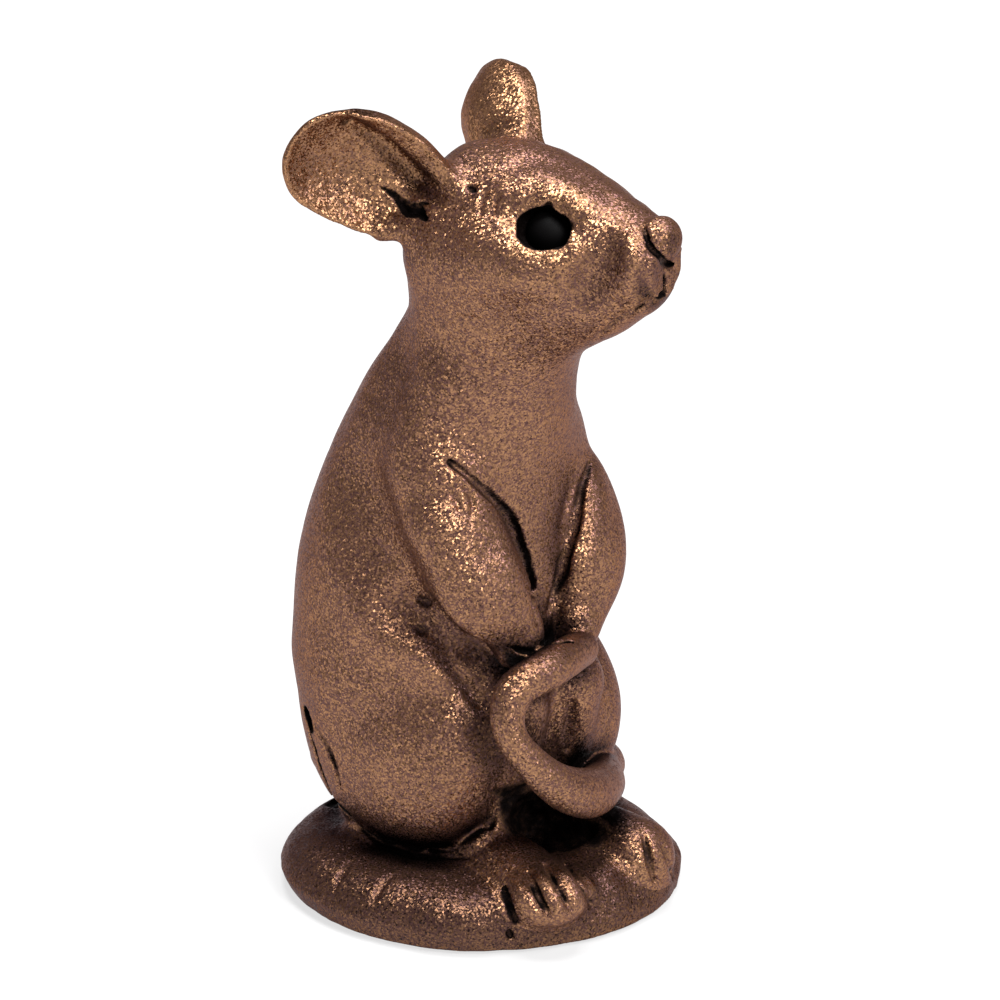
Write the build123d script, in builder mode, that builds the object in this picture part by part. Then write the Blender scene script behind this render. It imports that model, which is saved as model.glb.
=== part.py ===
"""Seated mouse figurine, a bronze-finished ornament made of separately cast pieces.

The mouse sits up on a round base, holds the end of its tail in front of its knees and looks along -Y,
so its right side is -X. The origin is the centre of the underside. All sizes are in millimetres.
"""

import os
from math import cos, radians, sin, tan

from build123d import *

# Spigots that join the castings, and the clearance of a spigot in its socket
spigot_radius = 2.4
spigot_length = 6.0
spigot_root = 4.0
small_spigot_radius = 1.1
small_spigot_length = 3.0
small_spigot_root = 2.0
spigot_gap = 0.08

# Round base with a swollen edge and a low domed top
base_radius = 27.3
base_foot_radius = 26.0
base_top_radius = 22.3
base_height = 8.4
base_dome = 1.8
base_bulge_height = 3.8
base_edge_slope = 0.9

# Baize pad let into the underside of the base
pad_radius = 20.0
pad_thickness = 1.2
pad_stand = 0.4

# Torso, from the top of the base to the neck
torso_height = 75.6
torso_half_width = 21.0
torso_half_depth = 19.5
torso_set_back = 6.9
torso_root = 2.4
# height, half width, half depth and set back of each section
torso_station_shares = (
    (0.00, 0.62, 0.80, 0.96),
    (0.12, 0.74, 0.92, 1.00),
    (0.27, 0.95, 1.03, 1.03),
    (0.39, 1.00, 1.02, 1.02),
    (0.52, 0.98, 0.98, 0.95),
    (0.69, 0.83, 0.84, 0.74),
    (0.86, 0.67, 0.72, 0.25),
    (0.93, 0.59, 0.63, -0.12),
    (1.00, 0.57, 0.61, -0.46),
)

# Head, turned a little to the mouse's left
head_yaw = 9.0
head_rise = 11.0
head_lead = 1.2
skull_radius = 13.0
snout_length = 26.0
snout_rise = 1.5
# place along the head, half width, half height and rise of each section, for the skull and for the snout
skull_station_shares = ((-0.97, 0.30, 0.30), (-0.80, 0.66, 0.66), (-0.46, 0.90, 0.90))
snout_station_shares = (
    (0.00, 1.00, 0.98, -0.20),
    (0.27, 0.94, 0.98, -0.33),
    (0.50, 0.78, 0.90, -0.60),
    (0.72, 0.60, 0.73, -0.30),
    (0.90, 0.46, 0.55, 0.20),
    (1.00, 0.35, 0.42, 0.47),
)
nape_width_share = 0.92
nape_set_back = 2.0

# Ears, cupped and set on the back of the skull
ear_half_length = 12.8
ear_half_width = 8.4
ear_half_thickness = 3.4
ear_dish_lift = 2.6
ear_dish_shift = 2.4
ear_rim = 1.4
ear_stand = 9.4
right_ear_share = 1.0
left_ear_share = 0.86
# root on the skull, way from the root to the tip, and way the cup opens: forward, to the side and up
ear_seat_shares = (-0.40, 0.58, 0.69)
ear_axis_shares = (-0.68, 0.70, 0.25)
ear_opening_shares = (0.71, 0.70, -0.08)

# Black glass bead eyes
eye_radius = 3.1
eye_forward_share = 0.50
eye_side_share = 0.47
eye_rise_share = 0.48

# Nose, a button set into the front of the muzzle
nose_radius = 2.5
nose_rise = 4.3
nose_stand = 0.6

# Arms, from the shoulder over the elbow to the wrist
arm_half_width = 8.2
arm_half_thickness = 6.0
# place by the torso's half width, half depth and height, then half width and half thickness of each section
arm_station_shares = (
    (0.42, -0.36, 0.795, 0.66, 0.74),
    (0.57, -0.53, 0.680, 1.00, 0.95),
    (0.52, -0.76, 0.580, 1.00, 1.00),
    (0.43, -0.92, 0.500, 0.84, 0.90),
    (0.33, -1.00, 0.448, 0.60, 0.68),
)
arm_seat_shares = (0.55, -0.65, 0.62)
paw_half_width = 3.8
paw_half_depth = 4.2
paw_half_height = 4.4
paw_centre_shares = (0.27, -1.04, 0.415)
paw_seat_lead = 1.4

# Hind legs: the haunch, the lower leg in front of it and the foot on the base
haunch_half_width = 9.5
haunch_half_depth = 15.5
haunch_half_height = 16.0
haunch_centre_shares = (0.55, -0.21, 0.195)
haunch_seat_stand = 6.0
leg_half_width = 5.2
leg_half_depth = 5.8
leg_half_height = 11.5
leg_centre_shares = (0.295, -0.91, 0.19)
leg_seat_shift = 2.0
foot_half_width = 5.8
foot_half_length = 11.0
foot_half_height = 7.2
foot_sink = 0.8
foot_side = 8.2
foot_set_in = 8.1
foot_splay = 4.0
toe_radius = 1.8
toe_half_length = 5.0
toe_half_height = 3.4
toe_reach = 8.0
toe_pitch = 2.7
toe_drop = 0.8
toe_count = 4

# Tail, from the right rump round the back and the left side to the loop in front of the knees
tail_radius = 2.9
# route by the torso's half width, half depth and height
tail_route_shares = (
    (-0.44, 0.67, 0.210),
    (-0.49, 0.75, 0.100),
    (-0.23, 0.86, 0.034),
    (0.25, 0.88, 0.028),
    (0.73, 0.57, 0.028),
    (0.98, 0.01, 0.030),
    (0.92, -0.55, 0.042),
    (0.58, -0.91, 0.080),
    (0.31, -1.22, 0.105),
    (-0.09, -1.49, 0.142),
    (-0.48, -1.57, 0.208),
    (-0.72, -1.42, 0.300),
    (-0.62, -1.36, 0.375),
    (-0.31, -1.42, 0.405),
    (0.14, -1.31, 0.382),
)
tail_bend_share = 0.45


def torso_ring(station):
    """Plane and half sizes of one horizontal section of the torso."""
    height_share, width_share, depth_share, set_back_share = station
    centre = (0, torso_set_back * set_back_share, deck + torso_height * height_share)
    return Plane(centre), torso_half_width * width_share, torso_half_depth * depth_share


def body_point(width_share, depth_share, height_share):
    """Point on the mouse's right, placed by the torso's own sizes."""
    return Vector(
        -torso_half_width * width_share,
        torso_set_back + torso_half_depth * depth_share,
        deck + torso_height * height_share,
    )


def head_vector(forward, side, up):
    """Vector given along the head's own forward, right and up directions."""
    return head_forward * forward + head_right * side + Vector(0, 0, up)


def ellipsoid(plane, half_x, half_y, half_z):
    """Solid ellipsoid with its half axes along a plane's own axes."""
    with BuildPart(mode=Mode.PRIVATE) as unit:
        Sphere(1)
        scale(by=(half_x, half_y, half_z))
    return plane.location * unit.part


def spigot(seat, radius, reach, root, gap=0):
    """Round spigot from inside one casting, through the seat plane, into the other along its normal."""
    with BuildPart(seat.offset(-root), mode=Mode.PRIVATE) as pin:
        Cylinder(radius + gap, root + reach + gap, align=(Align.CENTER, Align.CENTER, Align.MIN))
    return pin.part


def bend_radii(points):
    """Largest bend radius at each inner corner of a route that leaves each run a straight middle."""
    radii = []
    for before, corner, after in zip(points, points[1:], points[2:]):
        turn = radians((corner - before).get_angle(after - corner))
        run = min((corner - before).length, (after - corner).length)
        radii.append(tail_bend_share * run / tan(turn / 2))
    return radii


deck = pad_stand + base_height
head_forward = Vector(sin(radians(head_yaw)), -cos(radians(head_yaw)), 0)
head_right = Vector(-cos(radians(head_yaw)), -sin(radians(head_yaw)), 0)
neck_plane, neck_half_width, neck_half_depth = torso_ring(torso_station_shares[-1])
skull_centre = neck_plane.origin + head_forward * head_lead + Vector(0, 0, head_rise)
head_middle = Plane(skull_centre, x_dir=head_forward, z_dir=head_right)
body_middle = Plane.YZ
neck_seat = Plane(neck_plane.origin, z_dir=(0, 0, -1))
torso_seat = Plane((0, torso_set_back, deck), z_dir=(0, 0, -1))

# Base blank: a turned disc with a swollen edge and a domed top
with BuildPart() as base_form:
    with BuildSketch(Plane.XZ):
        with BuildLine():
            Line((0, pad_stand), (base_foot_radius, pad_stand))
            Spline(
                (base_foot_radius, pad_stand),
                (base_radius, pad_stand + base_bulge_height),
                (base_top_radius, deck - base_dome),
                tangents=((1, base_edge_slope), (-base_top_radius, 2 * base_dome)),
            )
            Spline(
                (base_top_radius, deck - base_dome),
                (0, deck),
                tangents=((-base_top_radius, 2 * base_dome), (-1, 0)),
            )
            Line((0, deck), (0, pad_stand))
        make_face()
    revolve(axis=Axis.Z)

# Baize pad, which the figurine stands on
with BuildPart() as base_pad:
    with BuildSketch():
        Circle(pad_radius)
    extrude(amount=pad_thickness)

# Torso blank: a pear shape from inside the base to the neck
with BuildPart() as torso_form:
    root_ring, root_half_width, root_half_depth = torso_ring(torso_station_shares[0])
    with BuildSketch(root_ring.offset(-torso_root)):
        Ellipse(root_half_width, root_half_depth)
    for station in torso_station_shares:
        ring, half_width, half_depth = torso_ring(station)
        with BuildSketch(ring):
            Ellipse(half_width, half_depth)
    loft()


# Head blank: a round skull that runs into a tapering snout, on a short nape
with BuildPart() as head_form:
    for place_share, width_share, height_share in skull_station_shares:
        section_centre = skull_centre + head_forward * skull_radius * place_share
        with BuildSketch(Plane(section_centre, x_dir=head_right, z_dir=head_forward)):
            Ellipse(skull_radius * width_share, skull_radius * height_share)
    for place_share, width_share, height_share, rise_share in snout_station_shares:
        section_centre = skull_centre + head_vector(snout_length * place_share, 0, snout_rise * rise_share)
        with BuildSketch(Plane(section_centre, x_dir=head_right, z_dir=head_forward)):
            Ellipse(skull_radius * width_share, skull_radius * height_share)
    loft()
    nape_top = skull_centre - head_forward * nape_set_back
    with BuildSketch(neck_plane):
        Ellipse(neck_half_width, neck_half_depth)
    with BuildSketch(Plane(nape_top)):
        Circle(skull_radius * nape_width_share)
    loft()
    add(torso_form.part, mode=Mode.SUBTRACT)

neck_spigot = spigot(neck_seat, spigot_radius, spigot_length, spigot_root)
neck_socket = spigot(neck_seat, spigot_radius, spigot_length, 0, spigot_gap)

# Ears: cupped leaves on the back corners of the skull, the left one smaller
ear_axis = head_vector(*ear_axis_shares).normalized()
ear_across = head_vector(*ear_opening_shares).cross(ear_axis).normalized()
ear_opening = ear_axis.cross(ear_across)
ear_seat_point = skull_centre + head_vector(*(skull_radius * share for share in ear_seat_shares))
ear_seat = Plane(ear_seat_point, z_dir=-ear_axis)
ear_spigot = spigot(ear_seat, small_spigot_radius, small_spigot_length, small_spigot_root)
ear_socket = spigot(ear_seat, small_spigot_radius, small_spigot_length, small_spigot_root, spigot_gap)


def ear(size_share):
    """Ear on its seat on the mouse's right, with a cupped leaf at a share of its full size."""
    leaf_centre = ear_seat_point + ear_axis * ear_stand * size_share
    dish_centre = leaf_centre + (ear_axis * ear_dish_shift + ear_opening * ear_dish_lift) * size_share
    leaf_sizes = (ear_half_length, ear_half_width, ear_half_thickness)
    dish_sizes = (ear_half_length - ear_rim - ear_dish_shift, ear_half_width - ear_rim, ear_half_thickness)
    with BuildPart(mode=Mode.PRIVATE) as leaf:
        for centre, half_sizes, mode in (
            (leaf_centre, leaf_sizes, Mode.ADD),
            (dish_centre, dish_sizes, Mode.SUBTRACT),
        ):
            plane = Plane(centre, x_dir=ear_axis, z_dir=ear_opening)
            add(ellipsoid(plane, *(size * size_share for size in half_sizes)), mode=mode)
        add(head_form.part, mode=Mode.SUBTRACT)
        add(ear_spigot)
    return leaf.part


with BuildPart() as right_ear:
    add(ear(right_ear_share))

with BuildPart() as left_ear:
    mirror(ear(left_ear_share), about=head_middle)

# Eyes: glass beads, each in a round socket
eye_centre = skull_centre + head_vector(
    snout_length * eye_forward_share, skull_radius * eye_side_share, skull_radius * eye_rise_share
)
with BuildPart() as right_eye:
    with Locations(eye_centre):
        Sphere(eye_radius)

with BuildPart() as left_eye:
    mirror(right_eye.part, about=head_middle)

# Nose: a round button with a spigot in the front of the muzzle
nose_seat = Plane(skull_centre + head_vector(snout_length + nose_stand, 0, nose_rise), z_dir=-head_forward)
nose_spigot = spigot(nose_seat, small_spigot_radius, small_spigot_length, small_spigot_root)
nose_socket = spigot(nose_seat, small_spigot_radius, small_spigot_length, small_spigot_root, spigot_gap)
with BuildPart() as nose:
    with Locations(nose_seat.origin):
        Sphere(nose_radius)
    add(head_form.part, mode=Mode.SUBTRACT)
    add(nose_spigot)

# Head: the blank with the spigot for the neck and the sockets for the ears, the eyes and the nose
with BuildPart() as head:
    add(head_form.part)
    add(neck_spigot)
    add(nose_socket, mode=Mode.SUBTRACT)
    add(ear_socket, mode=Mode.SUBTRACT)
    mirror(ear_socket, about=head_middle, mode=Mode.SUBTRACT)
    with Locations(eye_centre):
        eye_socket = Sphere(eye_radius + spigot_gap, mode=Mode.SUBTRACT)
    mirror(eye_socket, about=head_middle, mode=Mode.SUBTRACT)

# Arm blank: a loft from the shoulder over the bent elbow to the wrist, laid against the torso
arm_points = [body_point(*station[:3]) for station in arm_station_shares]
with BuildPart() as arm_form:
    for index, station in enumerate(arm_station_shares):
        before = arm_points[max(index - 1, 0)]
        after = arm_points[min(index + 1, len(arm_points) - 1)]
        outward = Vector(arm_points[index].X, arm_points[index].Y - torso_set_back, 0)
        along = after - before
        with BuildSketch(Plane(arm_points[index], x_dir=along.cross(outward), z_dir=along)):
            Ellipse(arm_half_width * station[3], arm_half_thickness * station[4])
    loft()

# Arms: the blank trimmed to the torso, with a spigot into it
arm_seat_point = body_point(*arm_seat_shares)
arm_seat = Plane(arm_seat_point, z_dir=Vector(-arm_seat_point.X, torso_set_back - arm_seat_point.Y, 0))
arm_spigot = spigot(arm_seat, spigot_radius, spigot_length, spigot_root)
arm_socket = spigot(arm_seat, spigot_radius, spigot_length, spigot_root, spigot_gap)

# Paws: oval lumps at the wrists, each with a small spigot into the arm
paw_centre = body_point(*paw_centre_shares)
paw_form = ellipsoid(Plane(paw_centre), paw_half_width, paw_half_depth, paw_half_height)
paw_seat_point = (arm_points[-1] + paw_centre) / 2 - Vector(0, paw_seat_lead, 0)
paw_seat = Plane(paw_seat_point, z_dir=arm_points[-2] - paw_centre)
paw_spigot = spigot(paw_seat, small_spigot_radius, small_spigot_length, small_spigot_root)
paw_socket = spigot(paw_seat, small_spigot_radius, small_spigot_length, small_spigot_root, spigot_gap)

with BuildPart() as right_arm:
    add(arm_form.part)
    add(torso_form.part, mode=Mode.SUBTRACT)
    add(arm_spigot)
    add(paw_socket, mode=Mode.SUBTRACT)

with BuildPart() as left_arm:
    mirror(right_arm.part, about=body_middle)

with BuildPart() as right_paw:
    add(paw_form)
    add(torso_form.part, mode=Mode.SUBTRACT)
    add(arm_form.part, mode=Mode.SUBTRACT)
    add(paw_spigot)

with BuildPart() as left_paw:
    mirror(right_paw.part, about=body_middle)

# Haunches: broad lumps on the sides of the torso, cut off flat on the base
haunch_centre = body_point(*haunch_centre_shares)
haunch_form = ellipsoid(Plane(haunch_centre), haunch_half_width, haunch_half_depth, haunch_half_height)
haunch_seat = Plane(haunch_centre, z_dir=(1, 0, 0)).offset(-haunch_seat_stand)
haunch_spigot = spigot(haunch_seat, spigot_radius, spigot_length, small_spigot_root)
haunch_socket = spigot(haunch_seat, spigot_radius, spigot_length, small_spigot_root, spigot_gap)
with BuildPart() as right_haunch:
    add(haunch_form)
    add(torso_form.part, mode=Mode.SUBTRACT)
    add(base_form.part, mode=Mode.SUBTRACT)
    add(haunch_spigot)

with BuildPart() as left_haunch:
    mirror(right_haunch.part, about=body_middle)

# Feet: long soles on the base with separate toes over its edge
foot_turn = radians(foot_splay)
foot_reach = base_top_radius - foot_set_in
foot_across = Vector(cos(foot_turn), -sin(foot_turn), 0)
foot_forward = Vector(-sin(foot_turn), -cos(foot_turn), 0)
foot_plane = Plane((-foot_side, -foot_reach, deck - foot_sink), x_dir=foot_across, z_dir=foot_forward)
foot_form = ellipsoid(foot_plane, foot_half_width, foot_half_height, foot_half_length)
toe_row = foot_plane.location * Location((0, -toe_drop, toe_reach))
toes = [
    ellipsoid(Plane(toe_row * place), toe_radius, toe_half_height, toe_half_length)
    for place in GridLocations(toe_pitch, 0, toe_count, 1)
]
foot_seat = Plane((-foot_side, -foot_reach, deck), z_dir=(0, 0, -1))
foot_spigot = spigot(foot_seat, spigot_radius, spigot_length, spigot_root)
foot_socket = spigot(foot_seat, spigot_radius, spigot_length, spigot_root, spigot_gap)
with BuildPart() as right_foot:
    add(foot_form)
    add(toes)
    add([torso_form.part, haunch_form, base_form.part], mode=Mode.SUBTRACT)
    add(foot_spigot)

with BuildPart() as left_foot:
    mirror(right_foot.part, about=body_middle)

# Lower legs: upright ovals in front of the belly, which show as the knees inside the tail's loop
leg_centre = body_point(*leg_centre_shares)
leg_form = ellipsoid(Plane(leg_centre), leg_half_width, leg_half_depth, leg_half_height)
leg_seat = Plane(leg_centre + Vector(leg_seat_shift, 0, 0), z_dir=(0, 1, 0))
leg_spigot = spigot(leg_seat, small_spigot_radius, leg_half_depth, small_spigot_root)
leg_socket = spigot(leg_seat, small_spigot_radius, leg_half_depth, small_spigot_root, spigot_gap)
with BuildPart() as right_lower_leg:
    add(leg_form)
    add([torso_form.part, haunch_form, foot_form, base_form.part], mode=Mode.SUBTRACT)
    add(leg_spigot)

with BuildPart() as left_lower_leg:
    mirror(right_lower_leg.part, about=body_middle)

# Tail: a round roll that runs round the back and the left side and loops up in front of the knees
tail_points = [
    body_point(-across_share, along_share, height_share)
    for across_share, along_share, height_share in tail_route_shares
]
tail_seat = Plane(tail_points[0], z_dir=tail_points[0] - tail_points[1])
tail_spigot = spigot(tail_seat, spigot_radius, spigot_length, spigot_root)
tail_socket = spigot(tail_seat, spigot_radius, spigot_length, spigot_root, spigot_gap)
with BuildPart() as tail:
    with BuildLine() as tail_line:
        FilletPolyline(*tail_points, radius=bend_radii(tail_points))
    with BuildSketch(Plane(tail_points[0], z_dir=tail_points[1] - tail_points[0])):
        Circle(tail_radius)
    sweep()
    with Locations(tail_points[-1]):
        Sphere(tail_radius)
    add([torso_form.part, base_form.part], mode=Mode.SUBTRACT)
    for form in (haunch_form, leg_form, foot_form, paw_form, arm_form.part):
        add(form, mode=Mode.SUBTRACT)
        mirror(form, about=body_middle, mode=Mode.SUBTRACT)
    add(tail_spigot)

# Torso: the blank with its spigot for the base and the sockets for the limbs, the neck and the tail
torso_spigot = spigot(torso_seat, spigot_radius, spigot_length, spigot_root)
torso_socket = spigot(torso_seat, spigot_radius, spigot_length, 0, spigot_gap)
with BuildPart() as torso:
    add(torso_form.part)
    add(base_form.part, mode=Mode.SUBTRACT)
    add(torso_spigot)
    add([neck_socket, tail_socket], mode=Mode.SUBTRACT)
    for socket in (arm_socket, haunch_socket, leg_socket):
        add(socket, mode=Mode.SUBTRACT)
        mirror(socket, about=body_middle, mode=Mode.SUBTRACT)

# Base: the blank with the sockets for the torso and the feet and the recess for the pad
with BuildPart() as base:
    add(base_form.part)
    add([torso_socket, foot_socket], mode=Mode.SUBTRACT)
    mirror(foot_socket, about=body_middle, mode=Mode.SUBTRACT)
    with BuildSketch():
        Circle(pad_radius + spigot_gap)
    extrude(amount=pad_thickness, mode=Mode.SUBTRACT)

pieces = {
    "base": base,
    "base_pad": base_pad,
    "torso": torso,
    "head": head,
    "right_ear": right_ear,
    "left_ear": left_ear,
    "right_eye": right_eye,
    "left_eye": left_eye,
    "nose": nose,
    "right_arm": right_arm,
    "left_arm": left_arm,
    "right_paw": right_paw,
    "left_paw": left_paw,
    "right_haunch": right_haunch,
    "left_haunch": left_haunch,
    "right_lower_leg": right_lower_leg,
    "left_lower_leg": left_lower_leg,
    "right_foot": right_foot,
    "left_foot": left_foot,
    "tail": tail,
}
os.makedirs("parts", exist_ok=True)
for name, piece in pieces.items():
    piece.part.label = name
    export_step(piece.part, f"parts/{name}.step")
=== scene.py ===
import math

import bmesh
import bpy
import numpy as np
import openvdb
from mathutils import Matrix, Vector


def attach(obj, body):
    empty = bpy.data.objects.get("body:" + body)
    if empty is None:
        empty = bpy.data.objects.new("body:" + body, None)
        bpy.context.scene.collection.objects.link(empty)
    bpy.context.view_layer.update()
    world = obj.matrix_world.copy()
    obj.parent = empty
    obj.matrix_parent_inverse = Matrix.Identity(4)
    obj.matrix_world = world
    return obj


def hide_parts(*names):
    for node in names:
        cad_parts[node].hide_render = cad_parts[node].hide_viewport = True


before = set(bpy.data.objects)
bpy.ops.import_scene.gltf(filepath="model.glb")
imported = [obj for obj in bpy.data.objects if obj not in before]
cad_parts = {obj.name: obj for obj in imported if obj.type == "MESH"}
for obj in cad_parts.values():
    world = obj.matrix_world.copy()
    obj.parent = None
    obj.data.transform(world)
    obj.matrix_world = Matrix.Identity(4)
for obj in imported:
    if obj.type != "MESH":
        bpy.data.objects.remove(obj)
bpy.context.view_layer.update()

# Camera
# A long lens looks at the mouse's right front from a little above. Marks on the figure that are known from
# the picture alone are kept as pixels of its 1000 x 1000 frame and are cast onto the surface along this view.
AZIMUTH = math.radians(-45.0)
ELEVATION = math.radians(22.5)
MM_PER_PIXEL = 0.135
MM_PER_METRE = 1000.0
CAMERA_DISTANCE = 1600.0
CAMERA_CLIP_END = 10.0
FRAME_MIDDLE = (500.0, 500.0)
ORIGIN_PIXEL = (480.0, 880.0)
FOCUS_DEPTH = 25.0
SENSOR_WIDTH = 36.0

to_camera = np.array((
    math.sin(AZIMUTH) * math.cos(ELEVATION), -math.cos(AZIMUTH) * math.cos(ELEVATION), math.sin(ELEVATION),
))
view_right = np.array((math.cos(AZIMUTH), math.sin(AZIMUTH), 0.0))
view_up = np.cross(to_camera, view_right)


def in_picture_plane(pixel):
    """Point in millimetres that a pixel shows in the plane where the scale holds."""
    return (
        view_right * (pixel[0] - ORIGIN_PIXEL[0]) * MM_PER_PIXEL
        + view_up * (ORIGIN_PIXEL[1] - pixel[1]) * MM_PER_PIXEL
        + to_camera * FOCUS_DEPTH
    )


lens_point = in_picture_plane(FRAME_MIDDLE) + to_camera * CAMERA_DISTANCE
camera_data = bpy.data.cameras.new("camera")
camera_data.sensor_width = SENSOR_WIDTH
camera_data.lens = SENSOR_WIDTH * CAMERA_DISTANCE / (2.0 * FRAME_MIDDLE[0] * MM_PER_PIXEL)
camera_data.clip_end = CAMERA_CLIP_END
camera = bpy.data.objects.new("camera", camera_data)
bpy.context.collection.objects.link(camera)
camera.location = lens_point / MM_PER_METRE
camera.rotation_mode = "QUATERNION"
camera.rotation_quaternion = Vector(-to_camera).to_track_quat("-Z", "Y")
bpy.context.scene.camera = camera


# Base
# A fat disc of the same casting resin as the body, with a swollen edge and a flat underside. It was patted
# out by hand, so its edge wanders and its top falls away towards the back.
BASE_RADIUS = 27.0
BASE_TOP = 9.0
BASE_DOME = 2.8
BASE_FALL = 0.035
BASE_BOTTOM = -1.0
BASE_EDGE = 5.2
BASE_BULGE = 0.15
BASE_BULGE_TURN = math.radians(135.0)
BASE_OVALNESS = 0.35
BASE_FOOT_RADIUS = 26.2
BASE_FOOT_SHIFT = 0.9
BASE_FOOT_HEIGHT = 2.6
BASE_FOOT_EDGE = 0.8
BASE_FOOT_BLEND = 2.0
BASE_MIDDLE = (0.0, 0.0, 6.25)
BASE_REACH = (29.0, 29.0, 7.75)
BASE_BLEND = 0.5
# the base stands on its pad, and the whole base gets more painted shade than the body
PAD_STAND = 0.4
BASE_PAINTED_SHADE = 0.42

# The whole figure is first modelled as one lump of clay: a grid that holds the distance to its surface, with
# the nearest and the second nearest piece at each place.
VOXEL = 0.3
CLAY_LOW = np.array((-29.0, -34.5, -1.5))
CLAY_HIGH = np.array((29.0, 29.5, 116.5))
FAR = 12.0

axes = [np.arange(low, high, VOXEL, dtype=np.float32) for low, high in zip(CLAY_LOW, CLAY_HIGH)]
clay_shape = tuple(len(axis) for axis in axes)
clay = np.full(clay_shape, FAR, np.float32)
nearest = np.full(clay_shape, FAR, np.float32)
second = np.full(clay_shape, FAR, np.float32)
owner = np.full(clay_shape, -1, np.int8)
castings = {}

PAINT_BROWN = "#6a4a44"
POWDER_GOLD = "#b98a64"
WAX_AND_SHADE_BLACK = "#0b0706"
EDGE_GREY = "#b7a7ad"
FLAKE = 0.22
GRAIN = 1.1
GRAIN_HEIGHT = 0.04
PATCH = 9.0


def linear(colour):
    """Scene colour of an sRGB hex value."""
    parts = [int(colour[i:i + 2], 16) / 255.0 for i in (1, 3, 5)]
    return [c / 12.92 if c <= 0.04045 else ((c + 0.055) / 1.055) ** 2.4 for c in parts] + [1.0]


def add_node(tree, kind, inputs, **settings):
    """Adds a node with its settings. An input is a value, or the output that it is linked to."""
    made = tree.nodes.new(kind)
    for name, value in settings.items():
        setattr(made, name, value)
    for name, value in inputs.items():
        if isinstance(value, bpy.types.NodeSocket):
            tree.links.new(value, made.inputs[name])
        else:
            made.inputs[name].default_value = value
    return made


# Bronze powder in clear lacquer over brown paint: gold flakes that glint one by one among specks of pinkish
# paint, more of them on what stands out, and black wax left in the crevices. The wider hollows are darkened
# with painted shade. The flakes are drawn a little coarser than the real powder.
bronze = bpy.data.materials.new("bronze_powder_finish")
bronze.use_nodes = True
tree = bronze.node_tree
shader = tree.nodes["Principled BSDF"]
place_on_piece = add_node(tree, "ShaderNodeTexCoord", {}).outputs["Object"]
normal = add_node(tree, "ShaderNodeNewGeometry", {}).outputs["Normal"]
crevice, hollow_painted_shade, ridge = (
    add_node(tree, "ShaderNodeAttribute", {}, attribute_name=label).outputs["Fac"]
    for label in ("crevice", "hollow_painted_shade", "ridge")
)
flakes = add_node(tree, "ShaderNodeTexVoronoi", {
    "Vector": place_on_piece, "Scale": MM_PER_METRE / FLAKE,
}).outputs["Color"]
patch, grain = (
    add_node(tree, "ShaderNodeTexNoise", {
        "Vector": place_on_piece, "Scale": MM_PER_METRE / size, "Detail": detail,
    }).outputs["Fac"]
    for size, detail in ((PATCH, 2.0), (GRAIN, 3.0))
)

# each flake is gold or brown by chance, with more gold on ridges and in patches, and less in hollows as
# painted shade
chances = add_node(tree, "ShaderNodeSeparateColor", {"Color": flakes}).outputs
gold = chances["Red"]
for source, share in ((ridge, 0.5), (patch, 0.25), (hollow_painted_shade, -0.4)):
    gold = add_node(tree, "ShaderNodeMath", {
        0: source, 1: share, 2: gold,
    }, operation="MULTIPLY_ADD").outputs[0]
gold = add_node(tree, "ShaderNodeMapRange", {
    "Value": gold, "From Min": 0.3, "From Max": 1.15,
}).outputs["Result"]
worn_and_shaded = add_node(tree, "ShaderNodeMix", {
    "Factor": gold, 6: linear(PAINT_BROWN), 7: linear(POWDER_GOLD),
}, data_type="RGBA").outputs[2]

# the wider hollows get painted shade, a few flakes are dark all over, and the wax is black in the crevices
speck = add_node(tree, "ShaderNodeMapRange", {
    "Value": chances["Green"], "From Min": 0.78, "To Max": 0.5,
}).outputs["Result"]
shade = add_node(tree, "ShaderNodeMath", {
    0: hollow_painted_shade, 1: 1.0, 2: speck,
}, operation="MULTIPLY_ADD", use_clamp=True).outputs[0]
worn_and_shaded = add_node(tree, "ShaderNodeMix", {
    "Factor": shade, 6: worn_and_shaded, 7: linear(WAX_AND_SHADE_BLACK),
}, data_type="RGBA").outputs[2]
# under the tail's loop the black wax is painted shadow
wax = add_node(tree, "ShaderNodeMath", {0: grain, 1: 0.35, 2: crevice}, operation="MULTIPLY_ADD").outputs[0]
wax = add_node(tree, "ShaderNodeMapRange", {
    "Value": wax, "From Min": 0.5, "From Max": 0.95,
}, interpolation_type="SMOOTHSTEP").outputs["Result"]
colour = add_node(tree, "ShaderNodeMix", {
    "Factor": wax, 6: worn_and_shaded, 7: linear(WAX_AND_SHADE_BLACK),
}, data_type="RGBA").outputs[2]
tree.links.new(colour, shader.inputs["Base Color"])

# every flake lies a little askew, on a skin with a fine grain
askew = add_node(tree, "ShaderNodeVectorMath", {
    0: flakes, 1: (0.5, 0.5, 0.5),
}, operation="SUBTRACT").outputs[0]
askew = add_node(tree, "ShaderNodeVectorMath", {0: askew, "Scale": 0.65}, operation="SCALE").outputs[0]
askew = add_node(tree, "ShaderNodeVectorMath", {0: askew, 1: normal}, operation="ADD").outputs[0]
askew = add_node(tree, "ShaderNodeVectorMath", {0: askew}, operation="NORMALIZE").outputs[0]
bump = add_node(tree, "ShaderNodeBump", {
    "Height": grain, "Distance": GRAIN_HEIGHT / MM_PER_METRE, "Normal": askew,
}).outputs["Normal"]
tree.links.new(bump, shader.inputs["Normal"])

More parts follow.
